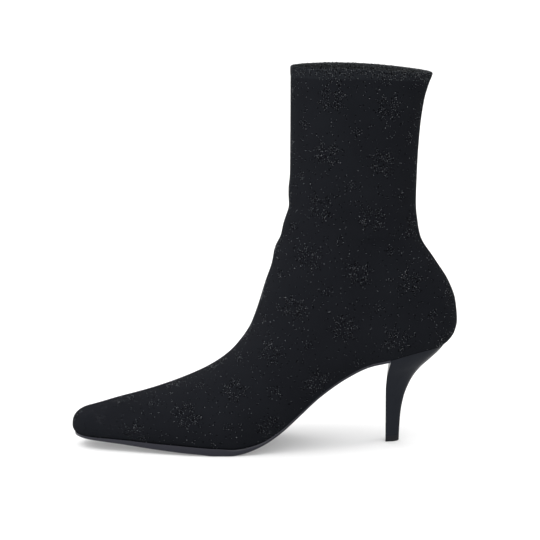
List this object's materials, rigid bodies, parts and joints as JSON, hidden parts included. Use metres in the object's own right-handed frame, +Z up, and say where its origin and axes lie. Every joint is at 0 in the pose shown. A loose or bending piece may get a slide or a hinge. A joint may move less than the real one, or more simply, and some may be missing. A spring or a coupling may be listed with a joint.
{
  "type": "knit ankle boot",
  "caption": "Pull-on knit ankle boot with a sock-like shaft, a narrow rounded toe, a thin sole and a slim curved heel.",
  "frame": {"origin": "on the floor, under the middle of the boot's box", "axes": "+Z up, the toe points to -X and the heel to +X, -Y is the outer side of the left foot"},
  "size_m": [0.252, 0.0769, 0.2481],
  "materials": {
    "knit": "matte knit with fine metallic flecks",
    "insole": "matte",
    "sole": "satin",
    "heel_cover": "gloss",
    "lift": "matte"
  },
  "bodies": {
    "root": {"upper": "knit", "insole": "insole", "outsole": "sole", "heel": "heel_cover", "top_lift": "lift"}
  },
  "joints": []
}
